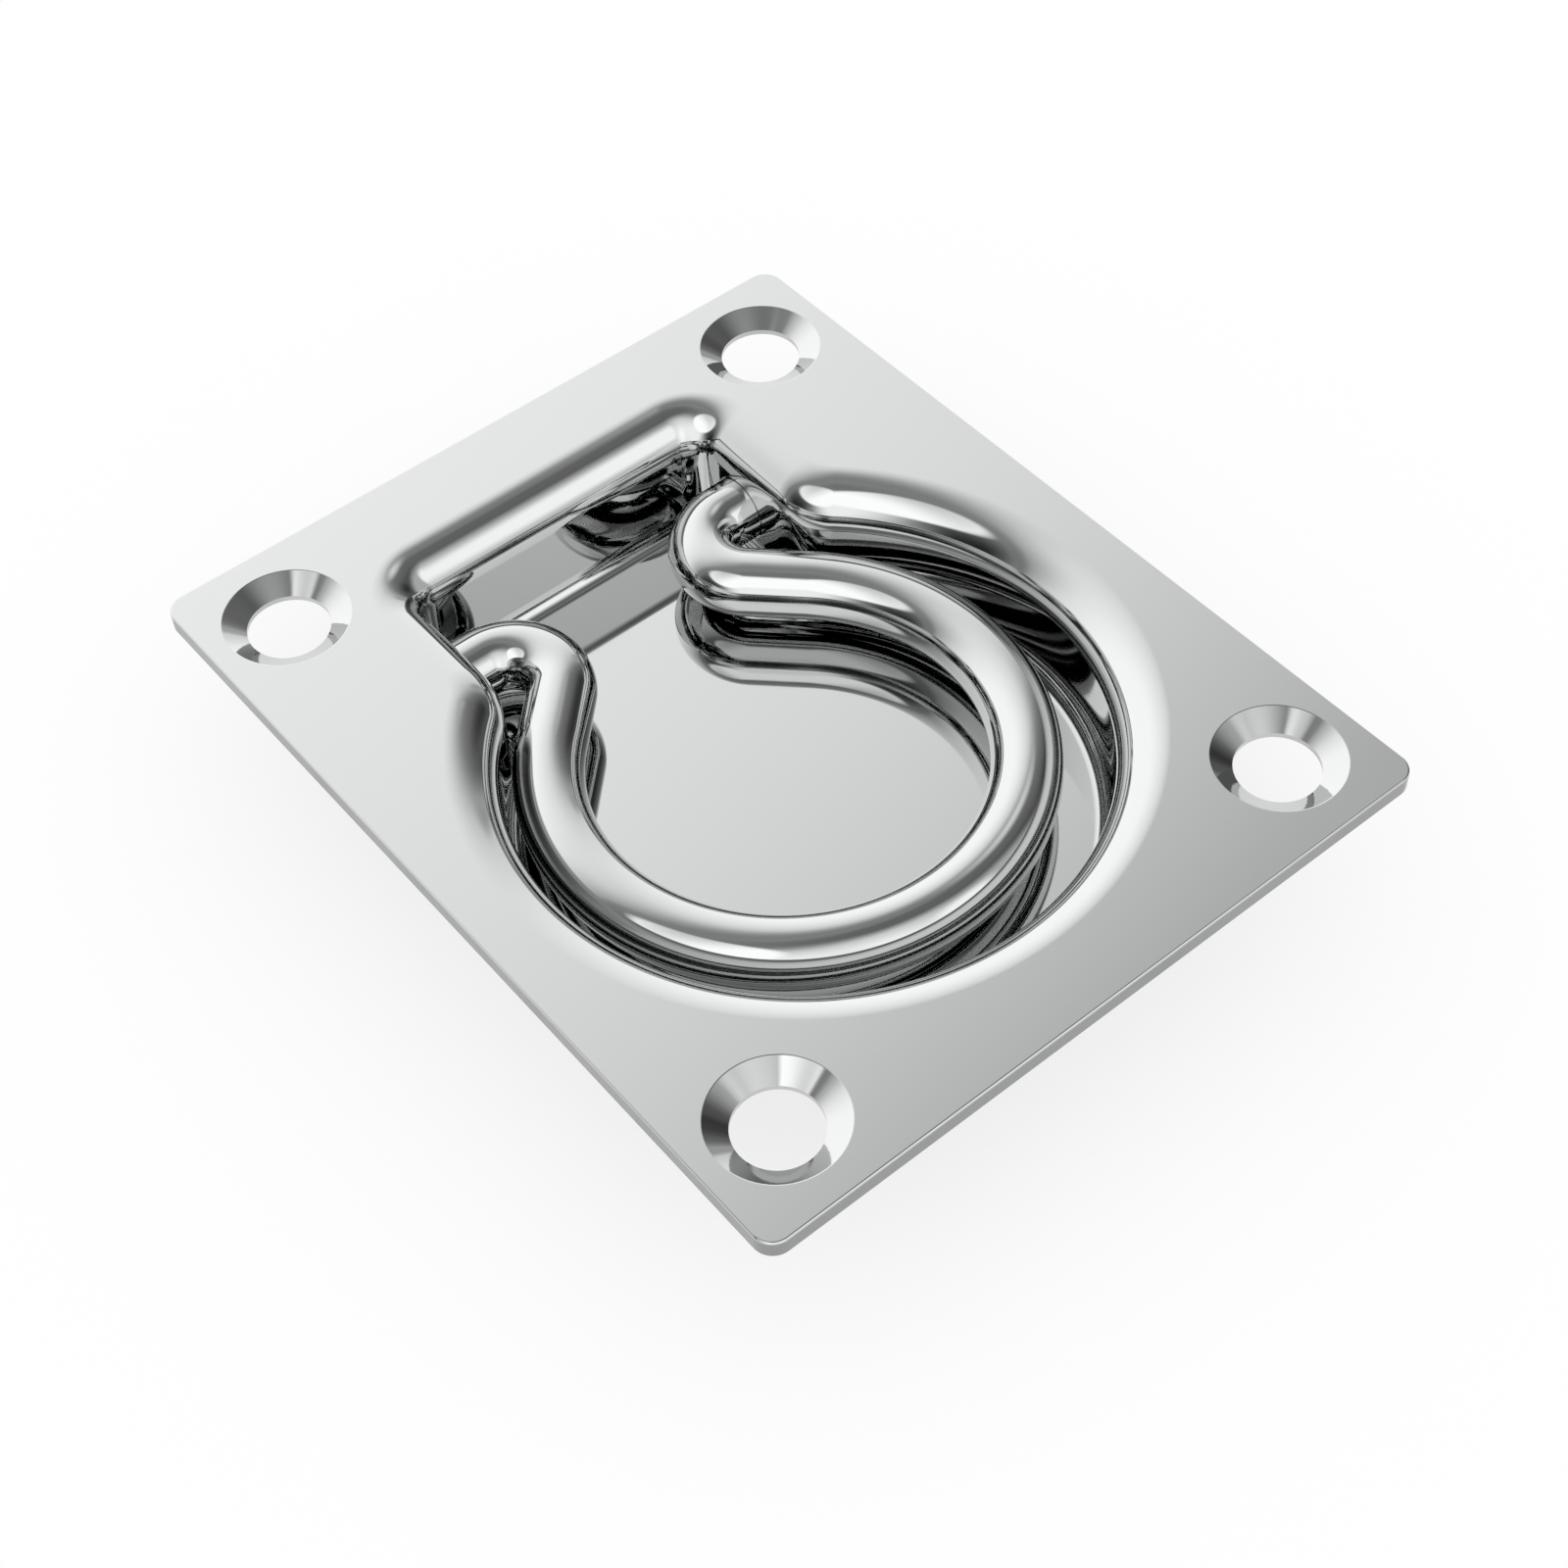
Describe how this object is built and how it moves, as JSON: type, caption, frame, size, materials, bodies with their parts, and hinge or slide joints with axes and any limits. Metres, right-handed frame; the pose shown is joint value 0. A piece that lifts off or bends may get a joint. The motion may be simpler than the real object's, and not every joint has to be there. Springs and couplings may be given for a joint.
{
  "type": "recessed tie-down ring",
  "caption": "Pressed stainless pan ring with a flange and screw holes: an omega-shaped rod ring folds flat into its keyhole pocket and lifts to take a lashing.",
  "frame": {"origin": "centre of the rectangle of the four screw holes, on the flange's underside, where it seats on the panel", "axes": "+X across the flange and along the hinge axis, +Y along the flange towards the hinge, +Z out of the panel towards the user"},
  "size_m": [0.074, 0.091, 0.0154],
  "materials": {
    "polished_sheet": "mirror-polished stainless sheet, deep drawn",
    "polished_rod": "mirror-polished stainless rod, bent cold"
  },
  "bodies": {
    "pan": {"pan": "polished_sheet"},
    "ring": {"ring": "polished_rod"}
  },
  "joints": [
    {"name": "ring_hinge", "type": "hinge", "parent": "pan", "child": "ring", "pos_m": [0, 0.0263, -0.0063], "axis": [-1, 0, 0], "range_deg": [-1.7, 115]}
  ]
}
